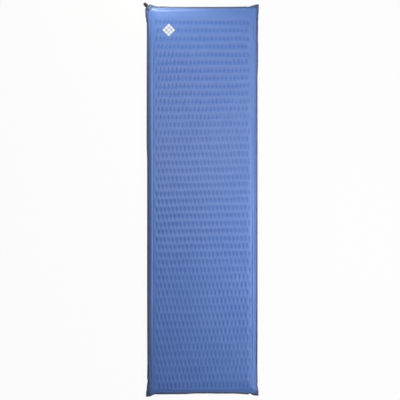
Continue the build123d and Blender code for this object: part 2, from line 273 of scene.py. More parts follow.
def make_bag():
    """Mesh object of the free band, with the place of each vertex in the two coarse grids."""
    grids = {side: sheet_points(coarse_x, coarse_y, side) for side in (1, -1)}
    flat = flat_points(coarse_x, coarse_y)
    places, points, filled = {}, [], []

    def vertex(side, place):
        if edge_depth(place, *COARSE_SHAPE) <= COARSE_WELD_STEPS:
            side = 1
        if (side, place) not in places:
            places[side, place] = len(points)
            points.append(flat[place])
            filled.append(grids[side][place])
        return places[side, place]

    faces = [[vertex(1, p) for p in cell] for cell in band_cells(*COARSE_SHAPE, COARSE_EDGE)]
    lower = band_cells(*COARSE_SHAPE, COARSE_EDGE, COARSE_WELD_STEPS)
    faces += [[vertex(-1, p) for p in reversed(cell)] for cell in lower]
    mesh = bpy.data.meshes.new("bag")
    mesh.from_pydata([list(p) for p in points], [], faces)
    bag = bpy.data.objects.new("bag", mesh)
    bpy.context.scene.collection.objects.link(bag)
    bag.shape_key_add(name="cut")
    key = bag.shape_key_add(name="filled")
    key.data.foreach_set("co", np.array(filled, dtype=np.float32).ravel())
    print("bag of", len(points), "points and", len(faces), "faces")
    return bag, places, np.array(filled)


# %% Vertex groups and cloth
def add_cloth(bag, places):
    """Holds the band at the core, and blows up all of it but the weld."""
    held = bag.vertex_groups.new(name="held")
    blown = bag.vertex_groups.new(name="blown")
    for (_, place), index in places.items():
        depth = edge_depth(place, *COARSE_SHAPE)
        if depth >= COARSE_EDGE:
            held.add([index], 1.0, "REPLACE")
        if depth >= COARSE_WELD_STEPS:
            blown.add([index], 1.0, "REPLACE")
    cloth = bag.modifiers.new("cloth", "CLOTH")
    settings = cloth.settings
    settings.quality = 5
    settings.mass = 0.002
    settings.tension_stiffness = 80
    settings.compression_stiffness = 80
    settings.shear_stiffness = 20
    settings.bending_stiffness = 0.01
    settings.vertex_group_mass = "held"
    settings.use_pressure = True
    settings.uniform_pressure_force = 4
    settings.vertex_group_pressure = "blown"
    settings.effector_weights.gravity = 0
    cloth.collision_settings.use_collision = False


# %% Run it
FILL_FRAMES = 12
SETTLE_FRAMES = 30
FREE_TRAVEL = 0.006
KEPT_MOVE = np.array([0.10, 0.10, 0.7])


def settle(bag, filled):
    """Fills the bag and returns how far each vertex ends up from its filled place."""
    scene = bpy.context.scene
    scene.frame_start = 1
    scene.frame_end = SETTLE_FRAMES
    key = bag.data.shape_keys.key_blocks["filled"]
    for frame_number, share in ((1, 0), (FILL_FRAMES, 1)):
        key.value = share
        key.keyframe_insert("value", frame=frame_number)
    for number in range(1, SETTLE_FRAMES + 1):
        scene.frame_set(number)
    evaluated = bag.evaluated_get(bpy.context.evaluated_depsgraph_get())
    after = np.array([v.co for v in evaluated.data.vertices])
    move = (after - filled) * KEPT_MOVE
    far = np.linalg.norm(move, axis=1, keepdims=True)
    scene.frame_set(1)
    print("cloth moved up to", round(float(far.max()) * 1000, 1), "mm")
    return move * np.minimum(1, FREE_TRAVEL / np.maximum(far, 1e-9))


# %% [markdown]
# At an ear the cells are only a millimetre or two across, and their corners end up jittering about
# each other, which shows as a ragged tip. A few rounds of averaging with the neighbours calm them.
# It fades out away from the ear, so the puckers along the edges stay as they fell.

# %% Calm ears
EAR_ROUNDS = 4
EAR_SHARE = 0.35


def calm_corners(moved):
    """Evens out the movements at the four ears, and leaves the rest alone."""
    size = COARSE_EDGE + 1
    near = 1 - np.arange(size) / size
    share = step(near[:, None] * near[None, :], 0.0, EAR_SHARE)[..., None]
    calm = moved.copy()
    for rows in (slice(0, size), slice(-1, -size - 1, -1)):
        for columns in (slice(0, size), slice(-1, -size - 1, -1)):
            block = moved[rows, columns]
            for _ in range(EAR_ROUNDS):
                block = np.pad(block, ((1, 1), (1, 1), (0, 0)), mode="edge")
                block = (block[:-2] + 2 * block[1:-1] + block[2:]) / 4
                block = (block[:, :-2] + 2 * block[:, 1:-1] + block[:, 2:]) / 4
            calm[rows, columns] = share * block + (1 - share) * moved[rows, columns]
    return calm


# %% From the bag to two sheets
def settled_moves():
    """Coarse grids of how far the cloth moved the top and the bottom sheet."""
    sheets = {side: np.zeros((*COARSE_SHAPE, 3)) for side in (1, -1)}
    bag, places, filled = make_bag()
    add_cloth(bag, places)
    far = settle(bag, filled)
    bpy.data.objects.remove(bag)
    for (side, place), index in places.items():
        sheets[side][place] = far[index]
    everywhere = np.ndindex(COARSE_SHAPE)
    welded = [p for p in everywhere if edge_depth(p, *COARSE_SHAPE) <= COARSE_WELD_STEPS]
    for place in welded:
        sheets[-1][place] = sheets[1][place]
    calm = {side: calm_corners(moved) for side, moved in sheets.items()}
    for place in welded:
        calm[-1][place] = calm[1][place]
    return calm


moves = settled_moves()

# %% [markdown]
# ## From coarse to fine
#
# The fine grid takes the cloth's movement from the coarse one. Straight lines between coarse points
# would show as facets, so a cubic runs through them instead, first along one family of lines and
# then along the other. The lines' flat places serve as the distance along the cloth.


# %% Cubic refinement
def refine(values, knots, wanted):
    """Values given at the knots, read at the wanted places along the first axis, on smooth cubics."""
    slopes = np.gradient(values, knots, axis=0)
    left = np.clip(np.searchsorted(knots, wanted, side="right") - 1, 0, len(knots) - 2)
    gap = knots[left + 1] - knots[left]
    t = (wanted - knots[left]) / gap
    shape = (len(wanted),) + (1,) * (values.ndim - 1)
    t, gap = t.reshape(shape), gap.reshape(shape)
    start, end = values[left], values[left + 1]
    bend_start, bend_end = slopes[left] * gap, slopes[left + 1] * gap
    rest = 1 - t
    hermite = start * rest**2 * (1 + 2 * t) + end * t**2 * (3 - 2 * t)
    return hermite + bend_start * t * rest**2 - bend_end * t**2 * rest


def fine_moves(coarse):
    """A coarse grid of movements on the fine grid."""
    along = refine(coarse, coarse_y[2], fine_y[2])
    return refine(along.swapaxes(0, 1), coarse_x[2], fine_x[2]).swapaxes(0, 1)


# %% [markdown]
# ## Dents and unevenness
#
# Each dent is a shallow dish, longer than it is wide and narrower towards its ends. The rows climb a
# little to one side and lie further apart towards the head. The dents lean a little one way, and in
# two opposite quarters the other way, as glued foam never lies quite square. A shallow furrow joins
# the dents of a row. It fades towards the foot and the head's right, where the dents stand more
# alone. No two dents are just as deep, and a slow unevenness keeps the top from looking machined.

# %% Where the rows and columns of dents lie
DENT_ROWS = 48
FIRST_ROW = 0.0770
HEAD_STRETCH = 0.0175
HEAD_STRETCH_RUN = 0.32
ODD_ROW_SHIFT = 0.0017
ROW_CLIMB = 0.019
COLUMN_LEAN = 0.0025
MOST_COLUMNS = 11.5
row_number = np.arange(DENT_ROWS)
from_first = row_number * ROW_PITCH
from_first = from_first + HEAD_STRETCH * (1 - np.exp(-from_first / HEAD_STRETCH_RUN))
row_middles = HALF_SIZE[1] - FIRST_ROW - from_first + ODD_ROW_SHIFT * (row_number % 2)


def row_drift(x, y):
    """How far a row of dents has wandered from where it should lie."""
    return x * (ROW_CLIMB + 0.006 * np.sin(y * 5 + 1.0)) + 0.0006 * np.sin(x * 40 + y * 9)


def nearest_dent(x, y):
    """Row number, columns from the middle and middle of the dent nearest to each point."""
    level_y = y - row_drift(x, y)
    row = np.abs(level_y[..., None] - row_middles).argmin(axis=-1)
    half = 0.5 * (1 - row % 2)
    straight_x = x + COLUMN_LEAN * y
    column = np.rint(straight_x / COLUMN_PITCH - half) + half
    return row, column, straight_x - column * COLUMN_PITCH, level_y - row_middles[row]


# %% Depth of the dents over a sheet
DENT_HALF_LENGTH = 0.0182
DENT_HALF_WIDTH = 0.0092
DENT_DEPTH = {1: 0.0023, -1: 0.0010}
DENT_LEAN = -0.045
LEAN_SPREAD = 12
FURROW = 0.62
HEAD_DEEPER = 0.20
FURROW_HALF = COLUMN_PITCH * MOST_COLUMNS
DENT_COLUMNS = int(2 * MOST_COLUMNS) + 2
dent_rng = np.random.default_rng(11)
dent_depths = dent_rng.uniform(0.80, 1.12, (DENT_ROWS, DENT_COLUMNS))
dent_shifts = dent_rng.normal(0, 0.0004, (DENT_ROWS, DENT_COLUMNS, 2))


def dome(distance, half):
    """1 at the middle and 0 at half to either side of it, along a quarter of a wave."""
    return np.cos(np.clip(distance / half, -1, 1) * math.pi / 2)


def furrow_field(x, y, dy):
    """Depth of the furrow that joins a row of dents; dy is the distance from the row's middle."""
    furrow = FURROW * step(np.abs(x + COLUMN_LEAN * y), FURROW_HALF + 0.006, FURROW_HALF - 0.010)
    furrow = furrow * (1 - 0.5 * step(x, 0.05, 0.2) * step(y, 0.1, 0.5))
    return furrow * (1 - 0.75 * step(y, -0.1, -0.5)) * dome(dy, DENT_HALF_LENGTH) ** 2


def dent_field(x, y):
    """Depth of the dents, 0 to 1, at every point of a sheet."""
    row, column, dx, dy = nearest_dent(x, y)
    furrow = furrow_field(x, y, dy)
    index = np.clip(np.floor(column + DENT_COLUMNS // 2).astype(int), 0, DENT_COLUMNS - 1)
    shift = dent_shifts[row, index]
    dy = dy - shift[..., 1]
    dx = dx - shift[..., 0] - DENT_LEAN * (1 + LEAN_SPREAD * x * y) * dy
    along = dome(dy, DENT_HALF_LENGTH)
    across = dome(dx, DENT_HALF_WIDTH * (0.6 + 0.4 * along)) ** 2
    there = np.abs(column) <= MOST_COLUMNS
    dent = np.where(there, along * across * dent_depths[row, index], 0)
    return (furrow + (1 - furrow) * dent) * (1 + HEAD_DEEPER * y / HALF_SIZE[1])


# %% Slow unevenness
def waves(x, y, count, longest, seed):
    """A smooth random surface between about -1 and 1, made of a few waves of any direction."""
    rng = np.random.default_rng(seed)
    total = np.zeros_like(x)
    for _ in range(count):
        heading = rng.uniform(0, 2 * math.pi)
        length = longest * rng.uniform(0.4, 1)
        phase = rng.uniform(0, 2 * math.pi)
        along = x * math.cos(heading) + y * math.sin(heading)
        total += np.sin(along * 2 * math.pi / length + phase)
    return total / math.sqrt(count)


# %% [markdown]
# ## The valve's corner
#
# At the valve the corner's tip is cut off square to the valve's axis, and each cover is welded round
# its own half of the fitting. The sheet's points beyond the cut are squeezed up against it, and the
# sheet is lifted to the fitting's lens shape, with a smooth join to the roll behind.

# %% The valve's own directions
VALVE_AXIS = np.array([-1, 1]) / math.sqrt(2)
VALVE_ACROSS = np.array([-1, -1]) / math.sqrt(2)
CORNER_CUT = 0.0115
VALVE_TIP = np.array([-HALF_SIZE[0] - 0.0055, HALF_SIZE[1] + 0.0090])
VALVE_ORIGIN = VALVE_TIP - VALVE_AXIS * CORNER_CUT
LENS_HALF_LENGTH = 0.0105
LENS_HALF_HEIGHT = 0.008
LENS_CLEARANCE = 0.0001 + FABRIC
SQUEEZE = 0.004
SLEEVE_START = -0.03
SLEEVE_SPREAD = 0.03
SLEEVE_BLEND = 0.0012
PATCH_LENGTH = 0.024
PATCH_HALF_WIDTH = 0.015
PATCH_SLOPE = 10
STILL_RADIUS = 0.02
STILL_FADE = 0.03
print("valve origin", VALVE_ORIGIN)


# %% Shaping the corner
def lens_height(v):
    """Half height of the sleeve's outside at a distance v from the valve's axis."""
    radius = (LENS_HALF_LENGTH**2 + LENS_HALF_HEIGHT**2) / (2 * LENS_HALF_HEIGHT)
    offset = radius - LENS_HALF_HEIGHT
    grown = radius + LENS_CLEARANCE
    return np.sqrt(np.maximum(grown**2 - v**2, 0)) - offset


def smooth_max(a, b, width):
    """The larger of two heights, with the corner between them rounded over width."""
    return (a + b + np.sqrt((a - b) ** 2 + width**2)) / 2


def shape_valve_corner(points, side):
    """Cuts the corner square at the valve and lifts the sheet over the fitting; returns the lift."""
    plan = points[..., :2] - VALVE_ORIGIN
    u, v = plan @ VALVE_AXIS, plan @ VALVE_ACROSS
    squeezed = np.where(u > -SQUEEZE, -SQUEEZE * np.exp(-(u + SQUEEZE) / SQUEEZE), u)
    points[..., :2] += (squeezed - u)[..., None] * VALVE_AXIS
    near = (squeezed > SLEEVE_START) & (np.abs(v) < SLEEVE_SPREAD)
    sleeve = lens_height(v) - 0.3 * np.maximum(np.abs(v) - LENS_HALF_LENGTH, 0)
    height = side * (points[..., 2] - WELD_Z)
    lifted = np.where(near, smooth_max(height, sleeve, SLEEVE_BLEND), height)
    points[..., 2] = WELD_Z + side * lifted
    return np.where(near, np.maximum(sleeve, 0), 0)


def valve_patch(points):
    """How far inside the patch that is welded round the fitting, and less than 0 outside it."""
    plan = points[..., :2] - VALVE_ORIGIN
    u, v = plan @ VALVE_AXIS, plan @ VALVE_ACROSS
    return np.minimum(u + PATCH_LENGTH, PATCH_HALF_WIDTH - np.abs(v))


def away_from_valve(points):
    """1 over most of the mat, down to 0 round the valve, where the fitting holds the sheets still."""
    far = np.hypot(points[..., 0] - VALVE_ORIGIN[0], points[..., 1] - VALVE_ORIGIN[1])
    return np.clip((far - STILL_RADIUS) / STILL_FADE, 0, 1)


# %% [markdown]
# ## Outer skins
#
# The pieces come together here: the sheet's shape, the cloth's movement, the unevenness, the dents
# and the valve's corner. The dents keep off the roll, and between the two the top falls away a
# little, where the foam's edge gives way. Nothing of the lower sheet goes under the ground.

# %% Puckers of the weld
# Each is a side or an end, its place along it, its width, and how far it draws the edge in.
PUCKERS = [
    ("left", 0.857, 0.006, 0.0034),
    ("left", 0.884, 0.012, 0.0012),
    ("left", -0.854, 0.009, 0.0026),
    ("left", -0.895, 0.010, 0.0012),
    ("right", 0.838, 0.012, 0.0010),
    ("right", -0.872, 0.010, 0.0014),
    ("head", -0.206, 0.010, 0.0016),
    ("head", -0.143, 0.010, 0.0012),
    ("head", 0.220, 0.008, 0.0016),
    ("head", 0.243, 0.007, 0.0014),
    ("foot", 0.2265, 0.006, 0.0052),
    ("foot", 0.214, 0.006, -0.0012),
    ("foot", -0.226, 0.010, 0.0012),
]
PUCKER_LIFT = 0.8
PUCKER_REACH = 0.03


def pucker_weld(points, weld_share):
    """Draws the weld in at each pucker and folds it up there, in place."""
    for edge, place, width, depth in PUCKERS:
        axis = 0 if edge in ("left", "right") else 1
        sign = 1 if edge in ("right", "head") else -1
        near = np.abs(points[..., axis] * sign - HALF_SIZE[axis]) < PUCKER_REACH
        bump = np.exp(-(((points[..., 1 - axis] - place) / width) ** 2)) * near
        points[..., axis] -= sign * depth * bump * weld_share
        points[..., 2] += PUCKER_LIFT * depth * bump * weld_share * (2 - weld_share)


# %% Outer skin of each cover
UNEVEN = 0.0005
WELD_WAVE = 0.0008
WELD_FADE = 0.003
MARGIN_DROP = 0.0028
MARGIN_RUN = 0.024
MARGIN_PAST = 0.006
EDGE_FADE = 0.012
fine_rise = sheet_rise(fine_x, fine_y)


def margin_drop(points, side):
    """How far the top falls away between the last dents and the roll."""
    if side < 0:
        return 0
    beyond = [np.abs(points[..., axis]) - FLAT_HALF[axis] for axis in (0, 1)]
    near = [step(distance, -MARGIN_RUN, MARGIN_PAST) for distance in beyond]
    return MARGIN_DROP * (1 - (1 - near[0]) * (1 - near[1])) * fine_rise


def outer_skin(side):
    """Fine grid of points of one cover's outside, and how far each point is from weld to core."""
    points = sheet_points(fine_x, fine_y, side)
    points += fine_moves(moves[side]) * away_from_valve(points)[..., None]
    x, y = points[..., 0].copy(), points[..., 1].copy()
    weld_share = np.maximum(*np.meshgrid(fine_x[1], fine_y[1])) ** 4
    points[..., 2] += WELD_WAVE * waves(x, y, 14, 0.09, 21) * weld_share
    pucker_weld(points, weld_share * away_from_valve(points))
    over_core = np.clip((FLAT_HALF[0] - np.abs(x)) / EDGE_FADE, 0, 1)
    over_core = over_core * np.clip((FLAT_HALF[1] - np.abs(y)) / EDGE_FADE, 0, 1)
    lift = UNEVEN * waves(x, y, 9, 0.34, 5) * over_core * (side > 0)
    sink = DENT_DEPTH[side] * dent_field(x, y)
    points[..., 2] += side * (lift - sink) - margin_drop(points, side)
    sleeve = shape_valve_corner(points, side)
    off_weld = np.clip(np.maximum(fine_rise * ROLL_HEIGHT, sleeve) / WELD_FADE, 0, 1)
    points[..., 2] += side * FABRIC * (1 - off_weld)
    if side < 0:
        points[..., 2] = np.maximum(points[..., 2], 0)
    return points, off_weld


outer = {side: outer_skin(side) for side in (1, -1)}
for side, (points, _) in outer.items():
    print("cover", side, "from", points[..., 2].min(), "to", points[..., 2].max())

# %% [markdown]
# ## Closed covers
#
# Each cover is a closed solid, as the CAD one is: an outer skin, an inner one a fabric's thickness
# away along the weld and further in behind the roll, and a rim round the edge. The inner skin needs
# no detail, so one face spans it over the core.

# %% Place of the inner skin
FINE_SHAPE = (len(fine_y[0]), len(fine_x[0]))
FINE_EDGE = ROLL_STEPS + FINE_WELD_STEPS
INNER_DROP = {1: 0.0042, -1: 0.0024}
CREASE_RUN = 0.004


def inner_skin(points, off_weld, side):
    """The outer skin's points moved inwards, towards the weld's plane."""
    inner = points.copy()
    inner[..., 2] -= side * (FABRIC + (INNER_DROP[side] - FABRIC) * off_weld * fine_rise)
    inner[..., 2] += margin_drop(points, side)
    for axis, half in enumerate(HALF_SIZE):
        inner[..., axis] *= 1 - off_weld * (1 - fine_rise) * FABRIC / half
    return inner


def ring(rows, columns, depth):
    """Grid places of the loop of points that lies depth lines inside the edge, counter-clockwise."""
    low_j, high_j = depth, rows - 1 - depth
    low_i, high_i = depth, columns - 1 - depth
    loop = [(low_j, i) for i in range(low_i, high_i)]
    loop += [(j, high_i) for j in range(low_j, high_j)]
    loop += [(high_j, i) for i in range(high_i, low_i, -1)]
    loop += [(j, low_i) for j in range(high_j, low_j, -1)]
    return loop


def weld_reach(points):
    """0 over the core and 1 at the weld, or more in the ears and in the patch at the valve."""
    reach = np.hypot(*np.meshgrid(fine_x[1], fine_y[1]))
    return np.maximum(reach, 1 + PATCH_SLOPE * valve_patch(points))


def painted_crease_mask():
    """Painted shade of the fold: 1 where the roll meets the weld, 0 a few millimetres either side."""
    reach = np.maximum(*np.meshgrid(fine_x[1], fine_y[1]))
    spread = np.where(reach < 1, (1 - reach) * ROLL_REACH / CREASE_RUN, 0)
    return np.clip(1 - spread, 0, 1)


# %% Build one cover
def make_cover(name, side):
    """Closed mesh of one cover, with its dents, crease and weld written on its points."""
    rows, columns = FINE_SHAPE
    skin, off_weld = outer[side]
    inside = inner_skin(skin, off_weld, side)
    points = [list(p) for p in skin.reshape(-1, 3)]
    inner_index = {}
    for j in range(rows):
        for i in range(columns):
            if edge_depth((j, i), rows, columns) <= FINE_EDGE:
                inner_index[j, i] = len(points)
                points.append(list(inside[j, i]))

    def outer_vertex(place):
        return place[0] * columns + place[1]

    faces = []
    for j in range(rows - 1):
        for i in range(columns - 1):
            cell = [(j, i), (j, i + 1), (j + 1, i + 1), (j + 1, i)]
            faces.append([outer_vertex(p) for p in cell][:: side])
    for cell in band_cells(rows, columns, FINE_EDGE):
        faces.append([inner_index[p] for p in cell][:: -side])
    faces.append([inner_index[p] for p in ring(rows, columns, FINE_EDGE)][:: -side])
    rim = ring(rows, columns, 0)
    for start, end in zip(rim, rim[1:] + rim[:1]):
        corner = [outer_vertex(end), outer_vertex(start), inner_index[start], inner_index[end]]
        faces.append(corner[:: side])
    mesh = bpy.data.meshes.new(name)
    mesh.from_pydata(points, [], faces)
    mesh.polygons.foreach_set("use_smooth", [True] * len(faces))
    dents = dent_field(skin[..., 0], skin[..., 1])
    shades = {"dent": dents, "crease": painted_crease_mask(), "weld_reach": weld_reach(skin)}
    for key, shade in shades.items():
        lined = [shade[place] for place in inner_index]
        values = np.concatenate([shade.ravel(), lined]).astype(np.float32)
        mesh.attributes.new(key, "FLOAT", "POINT").data.foreach_set("value", values)
    cover = bpy.data.objects.new(name, mesh)
    bpy.context.scene.collection.objects.link(cover)
    print(name, "points", len(points), "faces", len(faces))
    return cover


# %% Both covers, on the frame
top = make_cover("top_sheet", 1)
bottom = make_cover("bottom_sheet", -1)
dressed = (
    (top, "top_cover", "top_fabric"),
    (bottom, "bottom_cover", "bottom_fabric"),
)
for cover, node, slot_name in dressed:
    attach(cover, "root")
    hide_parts(node)

# %% [markdown]
# ## The foam slab
#
# Inside is one slab of foam, with a slim cell cut right through it under every dent. The CAD model
# has fewer and larger cells, so this piece stands for that node. A flat face with over a thousand
# holes is a job for constrained Delaunay triangulation: it takes the outline and the holes as rings
# of points, and fills what lies between them. The same triangles, turned over, close the underside.

# %% Outlines in the slab
SLAB_LOW = 0.0027
SLAB_HIGH = TOP_Z - INNER_DROP[1] - 0.0003
SLAB_CORNER = 0.012
CELL_HALF_WIDTH = 0.0048
CELL_HALF_LENGTH = 0.0155
INSIDE_WITH_HOLES = 4
cell_outline = [(0, 1), (0.62, 0.6), (1, 0), (0.62, -0.6)]
cell_outline += [(-a, -b) for a, b in cell_outline]


def cell_middles():
    """Middles of the cells in plan, row by row."""
    middles = []
    for row, level_y in enumerate(row_middles):
        count = int(MOST_COLUMNS + 0.5 * (row % 2 == 0))
        half = 0.5 * (row % 2 == 0)
        for column in range(-count, count + 1 if half == 0 else count):
            x = (column + half) * COLUMN_PITCH - COLUMN_LEAN * level_y
            middles.append((x, level_y + row_drift(x, level_y)))
    return middles


def slab_outline():
    """Rounded rectangle of the slab, counter-clockwise."""
    outline = []
    for turn, (sx, sy) in enumerate(((1, 1), (-1, 1), (-1, -1), (1, -1))):
        for part in range(7):
            angle = (turn + part / 6) * math.pi / 2
            x = sx * (CORE_HALF[0] - SLAB_CORNER) + SLAB_CORNER * math.cos(angle)
            y = sy * (CORE_HALF[1] - SLAB_CORNER) + SLAB_CORNER * math.sin(angle)
            outline.append((x, y))
    return outline


# %% Build the slab
def make_slab():
    """Closed mesh of the cored slab."""
    rings = [slab_outline()]
    for x, y in cell_middles():
        rings.append([(x + a * CELL_HALF_WIDTH, y + b * CELL_HALF_LENGTH) for a, b in cell_outline])
    flat, edges, first = [], [], 0
    for outline in rings:
        flat += [Vector(p) for p in outline]
        count = len(outline)
        edges += [(first + k, first + (k + 1) % count) for k in range(count)]
        first += count
    filled = delaunay_2d_cdt(flat, edges, [], INSIDE_WITH_HOLES, 1e-7, True)
    plan, triangles, origins = filled[0], filled[2], filled[3]
    count = len(plan)
    source = {old: new for new, olds in enumerate(origins) for old in olds}
    points = [(p.x, p.y, SLAB_HIGH) for p in plan] + [(p.x, p.y, SLAB_LOW) for p in plan]
    faces = [list(t) for t in triangles] + [[v + count for v in reversed(t)] for t in triangles]
    for start, end in edges:
        a, b = source[start], source[end]
        faces.append([b, a, a + count, b + count])
    mesh = bpy.data.meshes.new("foam_slab")
    mesh.from_pydata(points, [], faces)
    slab = bpy.data.objects.new("foam_slab", mesh)
    bpy.context.scene.collection.objects.link(slab)
    print("foam slab cells", len(rings) - 1, "triangles", len(triangles) * 2)
    return slab


slab = make_slab()
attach(slab, "root")
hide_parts("foam_core")

# %% [markdown]
# ## Shader maths as expressions
#
# A procedural material is a sum over its surface: how far along, how much noise, how dark. Written
# node by node that takes pages, so a small class wraps one socket and lets it be added and
# multiplied like a number. Every other node comes from one method, which sets the node's settings
# first and its sockets after.


# %% A value that varies over a surface
class Value:
    """One output socket of a material's nodes, usable in sums."""

    def __init__(self, graph, socket):
        self.graph = graph
        self.socket = socket

    def maths(self, operation, *others):
        return self.graph.value("Math", {"operation": operation}, dict(enumerate((self, *others))))

    def __add__(self, other):
        return self.maths("ADD", other)

    __radd__ = __add__

    def __mul__(self, other):
        return self.maths("MULTIPLY", other)

    __rmul__ = __mul__

    def __sub__(self, other):
        return self.maths("SUBTRACT", other)

    def __rsub__(self, other):
        return self.graph.value("Math", {"operation": "SUBTRACT"}, {0: other, 1: self})

    def __truediv__(self, other):
        return self.maths("DIVIDE", other)

    def sin(self):
        return self.maths("SINE")

    def size(self):
        return self.maths("ABSOLUTE")

    def fraction(self):
        return self.maths("FRACT")

    def band(self, low, high):
        """0 below low, 1 above high, and a straight slope between."""
        settings = {"clamp": True}
        sockets = {"Value": self, "From Min": low, "From Max": high}
        return self.graph.value("MapRange", settings, sockets)


# %% A material and its nodes
class Graph:
    """The nodes of one material, or of the world."""

    def __init__(self, name, owner=None):
        self.owner = owner or bpy.data.materials.new(name)
        self.owner.use_nodes = True
        self.tree = self.owner.node_tree
        self.tree.nodes.clear()
        self.place = self.value("TexCoord", output="Object")

    def node(self, kind, settings=None, sockets=None):
        """A node of a kind, its settings set first and then its sockets' values or links."""
        made = self.tree.nodes.new("ShaderNode" + kind)
        for key, setting in (settings or {}).items():
            setattr(made, key, setting)
        for key, given in (sockets or {}).items():
            if isinstance(given, Value):
                self.tree.links.new(given.socket, made.inputs[key])
            else:
                made.inputs[key].default_value = given
        return made

    def value(self, kind, settings=None, sockets=None, output=0):
        """The same, as a value for sums."""
        return Value(self, self.node(kind, settings, sockets).outputs[output])

    def noise(self, scale, detail=2.0, place=None):
        """Noise from about 0.3 to 0.7, of features about 1 / scale metres wide."""
        sockets = {"Vector": place or self.place, "Scale": scale, "Detail": detail}
        return self.value("TexNoise", {}, sockets)

    def written(self, name):
        """A number that is written on the mesh's points."""
        return self.value("Attribute", {"attribute_name": name}, output="Fac")

    def stretched(self, factors):
        """The surface's place, stretched by three factors."""
        settings = {"operation": "MULTIPLY"}
        return self.value("VectorMath", settings, {0: self.place, 1: factors})

    def mix(self, share, first, second):
        """A colour from first to second as share goes from 0 to 1."""
        settings = {"data_type": "RGBA"}
        return self.value("Mix", settings, {0: share, 6: first, 7: second}, output=2)

    def axes(self):
        """X, Y and Z of the surface's place, each a value."""
        split = self.node("SeparateXYZ", {}, {0: self.place})
        return [Value(self, split.outputs[axis]) for axis in range(3)]

    def bump(self, height, depth):
        """A normal from a height of 0 to 1 that stands for depth metres."""
        return self.value("Bump", {}, {"Height": height, "Distance": depth})

    def mix_shaders(self, share, first, second):
        """A shader from first to second as share goes from 0 to 1."""
        mixed = self.node("MixShader", {}, {0: share})
        self.tree.links.new(first.outputs[0], mixed.inputs[1])
        self.tree.links.new(second.outputs[0], mixed.inputs[2])
        return mixed

    def end(self, shader, output="OutputMaterial"):
        """Leads a shader to the end of the material or the world, and returns that."""
        last = self.node(output)
        self.tree.links.new(shader.outputs[0], last.inputs["Surface"])
        print(self.owner.name, "nodes", len(self.tree.nodes))
        return self.owner

    def finish(self, color, roughness, normal, constants=None):
        """Ends the material in one Principled shader."""
        sockets = {"Base Color": color, "Roughness": roughness, "Normal": normal}
        return self.end(self.node("BsdfPrincipled", {}, {**sockets, **(constants or {})}))


# %% [markdown]
# ## The cover cloth
#
# A fine plain weave of polyester, coated on the inside. From arm's length it is an even satin blue
# with a soft sheen. Close up the threads show as a fine grid, and the cloth has faint streaks where
# the dye took differently and very slight creases. The weave is a product of two waves, which costs
# much less than an image and needs no unwrapping.

# %% Weave
THREAD_PITCH = 0.0007


def weave(graph):
    """Height of a plain weave, 0 to 1, along the mat's own axes."""
    x, y, _ = graph.axes()
    turn = 2 * math.pi / THREAD_PITCH
    over = (x * turn).sin() * (y * turn).sin()
    return over * 0.5 + 0.5


def tint(color, factor=1):
    """An opaque colour from three numbers, times one factor or three."""
    return (*np.multiply(color, factor).tolist(), 1)


# %% [markdown]
# ## The print
#
# A plain mark is printed at the head, beside the valve: nine small lozenges, three by three, that
# make one large one. An image would do it too, but two saw-tooth waves along the diagonals keep its
# edges clean at any distance.

# %% Print
PRINT_PLACE = (-0.158, 0.802)
LOZENGE_HALF = (0.0105, 0.0105)
LOZENGE_EDGE = (0.44, 0.40)
PRINT_EDGE = (1.51, 1.49)


def printed(graph):
    """1 inside the print, and 0 outside it."""
    x, y, _ = graph.axes()
    px = (x - PRINT_PLACE[0]) / (2 * LOZENGE_HALF[0])
    py = (y - PRINT_PLACE[1]) / (2 * LOZENGE_HALF[1])
    inside = 1
    for across in (px + py, px - py):
        lozenge = 0.5 - (across + 10.5).fraction()
        inside = lozenge.size().band(*LOZENGE_EDGE) * across.size().band(*PRINT_EDGE) * inside
    return inside


# %% [markdown]
# ## The weld
#
# Along the edge, and in a patch round the valve, the two sheets are fused under a hot bar. The coating
# has melted through there, so the strip is darker than the cloth, with the bar's fine knurling in it.
# Weld and cloth are one material, and a number written on the mesh's points says where the weld
# starts. Faces of a second material would give it a stepped edge.

# %% Fused weld
KNURL_PITCH = 0.0016


def fused_weld(graph, color):
    """Colour, unevenness and height of cloth fused under a knurled bar."""
    x, y, _ = graph.axes()
    turn = 2 * math.pi / KNURL_PITCH
    knurl = ((x + y) * turn).sin() * ((x - y) * turn).sin() * 0.5 + 0.5
    patches = graph.noise(40.0, 3.0).band(0.35, 0.65)
    shade = graph.mix(patches * 0.5 + knurl * 0.2, tint(color), tint(color, 0.6))
    return shade, patches, knurl * 0.6 + patches * 0.4


# %% [markdown]
# ## The whole cloth
#
# Painted shade darkens the cloth in the dents, and makes it nearly black in the fold where the roll
# meets the weld. Both come from numbers written on the points, laid over the weave and the dye.

# %% Cloth
# How strongly painted shade darkens the dents, and the deeper blue it darkens them towards.
PAINTED_DENT_SHADE = 0.42
PAINTED_DENT_TINT = (0.32, 0.50, 0.78)
PAINTED_CREASE_SHADE = 0.75
WELD_START = (0.993, 0.998)
WELD_ROUGHNESS = 0.33


def cloth_color(graph, light, dark, threads, clouds):
    """Two near shades of dye and a fine weave tint, with painted shade in the dents and in the fold.
    """
    streaks = graph.noise(1.0, 3.0, graph.stretched((9, 60, 9)))
    drift = (streaks * 0.5 + clouds * 0.5).band(0.35, 0.65)
    color = graph.mix(drift, tint(dark), tint(light))
    color = graph.mix(threads * 0.12, color, tint(dark, 0.55))
    # Painted shade in the dents, deepest where a dent is deepest.
    color = graph.mix(graph.written("dent") * PAINTED_DENT_SHADE, color, tint(dark, PAINTED_DENT_TINT))
    # Painted shade in the fold where the roll meets the weld, broken into dashes by noise.
    broken = graph.noise(38.0, 1.0).band(0.40, 0.56) * 0.6 + 0.4
    return graph.mix(graph.written("crease") * broken * PAINTED_CREASE_SHADE, color, tint(dark, 0.3))


